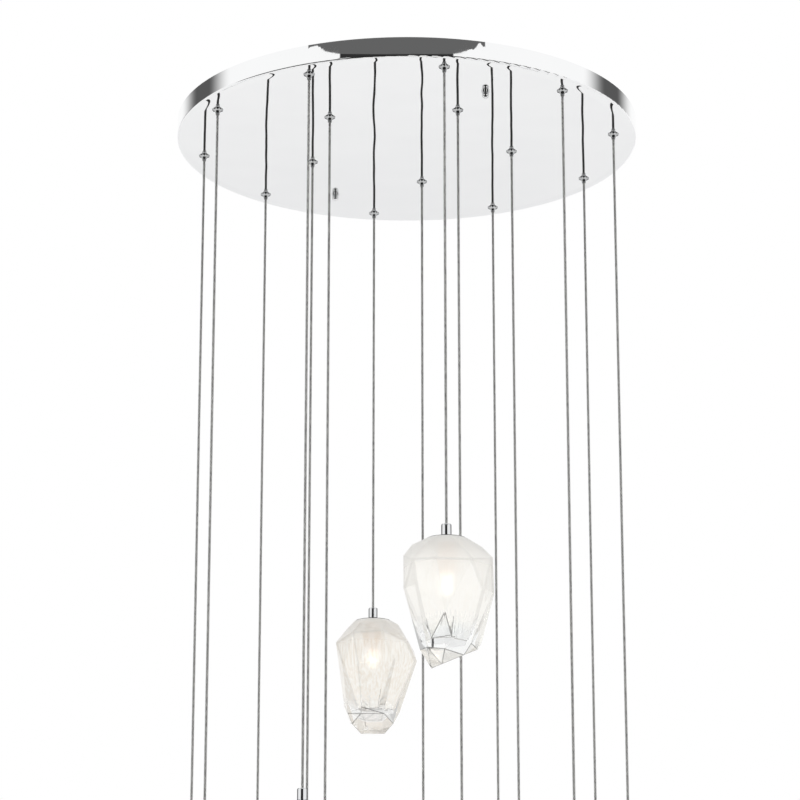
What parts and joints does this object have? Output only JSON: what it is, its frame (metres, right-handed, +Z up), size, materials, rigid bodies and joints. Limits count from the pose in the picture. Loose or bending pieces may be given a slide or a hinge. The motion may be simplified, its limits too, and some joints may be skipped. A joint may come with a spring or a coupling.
{
  "type": "cluster pendant",
  "caption": "Round mirror canopy whose thin straight cables carry faceted frosted glass lamps at staggered heights.",
  "frame": {"origin": "on the ceiling plane, at the middle of the mounting bar's two ceiling screws", "axes": "+Z up out of the ceiling, the lamps hang down along -Z, +Y points away from the picture's camera, +X to its right"},
  "size_m": [0.6406, 0.6311, 1.3733],
  "materials": {
    "mirror_chrome": "mirror polished chrome plate",
    "chrome": "polished chrome plate",
    "zinc_steel": "zinc plated steel",
    "brass": "plain brass",
    "white_plastic": "matt moulded",
    "clear_cable": "silver braid under a clear jacket",
    "frosted_glass": "ground white frost at the top, fading to clear at the foot"
  },
  "bodies": {
    "canopy": {"canopy_pan": "mirror_chrome", "mounting_bar": "zinc_steel", "bar_studs": "zinc_steel", "stud_nuts": "zinc_steel", "earth_screw": "brass", "terminal_block": "white_plastic", "block_screws": "zinc_steel", "inner_leads": "clear_cable", "cable_glands": "chrome", "gland_locknuts": "zinc_steel", "cable_grips": "brass"},
    "cap_nut_1": {"cap_nut_1": "chrome"},
    "cap_nut_2": {"cap_nut_2": "chrome"},
    "cable_01": {"cable_01": "clear_cable"},
    "lamp_01": {"lamp_head_01": "chrome", "glass_01": "frosted_glass"},
    "cable_02": {"cable_02": "clear_cable"},
    "lamp_02": {"lamp_head_02": "chrome", "glass_02": "frosted_glass"},
    "cable_03": {"cable_03": "clear_cable"},
    "lamp_03": {"lamp_head_03": "chrome", "glass_03": "frosted_glass"},
    "cable_04": {"cable_04": "clear_cable"},
    "lamp_04": {"lamp_head_04": "chrome", "glass_04": "frosted_glass"},
    "cable_05": {"cable_05": "clear_cable"},
    "lamp_05": {"lamp_head_05": "chrome", "glass_05": "frosted_glass"},
    "cable_06": {"cable_06": "clear_cable"},
    "lamp_06": {"lamp_head_06": "chrome", "glass_06": "frosted_glass"},
    "cable_07": {"cable_07": "clear_cable"},
    "lamp_07": {"lamp_head_07": "chrome", "glass_07": "frosted_glass"},
    "cable_08": {"cable_08": "clear_cable"},
    "lamp_08": {"lamp_head_08": "chrome", "glass_08": "frosted_glass"},
    "cable_09": {"cable_09": "clear_cable"},
    "lamp_09": {"lamp_head_09": "chrome", "glass_09": "frosted_glass"},
    "cable_10": {"cable_10": "clear_cable"},
    "lamp_10": {"lamp_head_10": "chrome", "glass_10": "frosted_glass"},
    "cable_11": {"cable_11": "clear_cable"},
    "lamp_11": {"lamp_head_11": "chrome", "glass_11": "frosted_glass"},
    "cable_12": {"cable_12": "clear_cable"},
    "lamp_12": {"lamp_head_12": "chrome", "glass_12": "frosted_glass"},
    "cable_13": {"cable_13": "clear_cable"},
    "lamp_13": {"lamp_head_13": "chrome", "glass_13": "frosted_glass"},
    "cable_14": {"cable_14": "clear_cable"},
    "lamp_14": {"lamp_head_14": "chrome", "glass_14": "frosted_glass"},
    "cable_15": {"cable_15": "clear_cable"},
    "lamp_15": {"lamp_head_15": "chrome", "glass_15": "frosted_glass"}
  },
  "joints": [
    {"name": "cap_nut_1_turn", "type": "hinge", "parent": "canopy", "child": "cap_nut_1", "pos_m": [0.09766, -0.1876, -0.025], "axis": [0, 0, 1], "continuous": true},
    {"name": "cap_nut_2_turn", "type": "hinge", "parent": "canopy", "child": "cap_nut_2", "pos_m": [-0.09766, 0.1876, -0.025], "axis": [0, 0, 1], "continuous": true},
    {"name": "swing_01", "type": "hinge", "parent": "canopy", "child": "cable_01", "pos_m": [0.12032, 0.24238, -0.032], "axis": [0.8957, -0.4446, 0], "range_deg": [-0.5, 12]},
    {"name": "twist_01", "type": "hinge", "parent": "cable_01", "child": "lamp_01", "pos_m": [0.12032, 0.24238, -0.901], "axis": [0, 0, 1], "range_deg": [-90, 90]},
    {"name": "swing_02", "type": "hinge", "parent": "canopy", "child": "cable_02", "pos_m": [-0.04513, 0.26681, -0.032], "axis": [0.986, 0.1668, 0], "range_deg": [-4, 12]},
    {"name": "twist_02", "type": "hinge", "parent": "cable_02", "child": "lamp_02", "pos_m": [-0.04513, 0.26681, -0.588], "axis": [0, 0, 1], "range_deg": [-90, 90]},
    {"name": "swing_03", "type": "hinge", "parent": "canopy", "child": "cable_03", "pos_m": [-0.19334, 0.18933, -0.032], "axis": [0.6997, 0.7145, 0], "range_deg": [-0.5, 12]},
    {"name": "twist_03", "type": "hinge", "parent": "cable_03", "child": "lamp_03", "pos_m": [-0.19334, 0.18933, -1.125], "axis": [0, 0, 1], "range_deg": [-90, 90]},
    {"name": "swing_04", "type": "hinge", "parent": "canopy", "child": "cable_04", "pos_m": [-0.2677, 0.03953, -0.032], "axis": [0.1461, 0.9893, 0], "range_deg": [-0.5, 12]},
    {"name": "twist_04", "type": "hinge", "parent": "cable_04", "child": "lamp_04", "pos_m": [-0.2677, 0.03953, -1.045], "axis": [0, 0, 1], "range_deg": [-90, 90]},
    {"name": "swing_05", "type": "hinge", "parent": "canopy", "child": "cable_05", "pos_m": [-0.23981, -0.12537, -0.032], "axis": [-0.4633, 0.8862, 0], "range_deg": [-0.5, 12]},
    {"name": "twist_05", "type": "hinge", "parent": "cable_05", "child": "lamp_05", "pos_m": [-0.23981, -0.12537, -0.97], "axis": [0, 0, 1], "range_deg": [-90, 90]},
    {"name": "swing_06", "type": "hinge", "parent": "canopy", "child": "cable_06", "pos_m": [-0.12032, -0.24238, -0.032], "axis": [-0.8957, 0.4446, 0], "range_deg": [-0.5, 12]},
    {"name": "twist_06", "type": "hinge", "parent": "cable_06", "child": "lamp_06", "pos_m": [-0.12032, -0.24238, -0.901], "axis": [0, 0, 1], "range_deg": [-90, 90]},
    {"name": "swing_07", "type": "hinge", "parent": "canopy", "child": "cable_07", "pos_m": [0.04513, -0.26681, -0.032], "axis": [-0.986, -0.1668, 0], "range_deg": [-4, 12]},
    {"name": "twist_07", "type": "hinge", "parent": "cable_07", "child": "lamp_07", "pos_m": [0.04513, -0.26681, -0.597], "axis": [0, 0, 1], "range_deg": [-90, 90]},
    {"name": "swing_08", "type": "hinge", "parent": "canopy", "child": "cable_08", "pos_m": [0.19334, -0.18933, -0.032], "axis": [-0.6997, -0.7145, 0], "range_deg": [-0.5, 12]},
    {"name": "twist_08", "type": "hinge", "parent": "cable_08", "child": "lamp_08", "pos_m": [0.19334, -0.18933, -1.125], "axis": [0, 0, 1], "range_deg": [-90, 90]},
    {"name": "swing_09", "type": "hinge", "parent": "canopy", "child": "cable_09", "pos_m": [0.2677, -0.03953, -0.032], "axis": [-0.1461, -0.9893, 0], "range_deg": [-0.5, 12]},
    {"name": "twist_09", "type": "hinge", "parent": "cable_09", "child": "lamp_09", "pos_m": [0.2677, -0.03953, -1.045], "axis": [0, 0, 1], "range_deg": [-90, 90]},
    {"name": "swing_10", "type": "hinge", "parent": "canopy", "child": "cable_10", "pos_m": [0.23981, 0.12537, -0.032], "axis": [0.4633, -0.8862, 0], "range_deg": [-0.5, 12]},
    {"name": "twist_10", "type": "hinge", "parent": "cable_10", "child": "lamp_10", "pos_m": [0.23981, 0.12537, -0.97], "axis": [0, 0, 1], "range_deg": [-90, 90]},
    {"name": "swing_11", "type": "hinge", "parent": "canopy", "child": "cable_11", "pos_m": [0.02093, 0.13843, -0.032], "axis": [-0.9888, 0.1495, 0], "range_deg": [-0.5, 1.5]},
    {"name": "twist_11", "type": "hinge", "parent": "cable_11", "child": "lamp_11", "pos_m": [0.02093, 0.13843, -1.01], "axis": [0, 0, 1], "range_deg": [-90, 90]},
    {"name": "swing_12", "type": "hinge", "parent": "canopy", "child": "cable_12", "pos_m": [-0.12518, 0.06269, -0.032], "axis": [-0.4478, -0.8942, 0], "range_deg": [-0.5, 1.5]},
    {"name": "twist_12", "type": "hinge", "parent": "cable_12", "child": "lamp_12", "pos_m": [-0.12518, 0.06269, -1.085], "axis": [0, 0, 1], "range_deg": [-90, 90]},
    {"name": "swing_13", "type": "hinge", "parent": "canopy", "child": "cable_13", "pos_m": [-0.0983, -0.09968, -0.032], "axis": [0.712, -0.7022, 0], "range_deg": [-0.5, 1.5]},
    {"name": "twist_13", "type": "hinge", "parent": "cable_13", "child": "lamp_13", "pos_m": [-0.0983, -0.09968, -0.94], "axis": [0, 0, 1], "range_deg": [-90, 90]},
    {"name": "swing_14", "type": "hinge", "parent": "canopy", "child": "cable_14", "pos_m": [0.06443, -0.12429, -0.032], "axis": [0.8878, 0.4602, 0], "range_deg": [-0.5, 1.5]},
    {"name": "twist_14", "type": "hinge", "parent": "cable_14", "child": "lamp_14", "pos_m": [0.06443, -0.12429, -1.165], "axis": [0, 0, 1], "range_deg": [-90, 90]},
    {"name": "swing_15", "type": "hinge", "parent": "canopy", "child": "cable_15", "pos_m": [0.13812, 0.02287, -0.032], "axis": [-0.1633, 0.9866, 0], "range_deg": [-0.5, 1.5]},
    {"name": "twist_15", "type": "hinge", "parent": "cable_15", "child": "lamp_15", "pos_m": [0.13812, 0.02287, -1.205], "axis": [0, 0, 1], "range_deg": [-90, 90]}
  ]
}
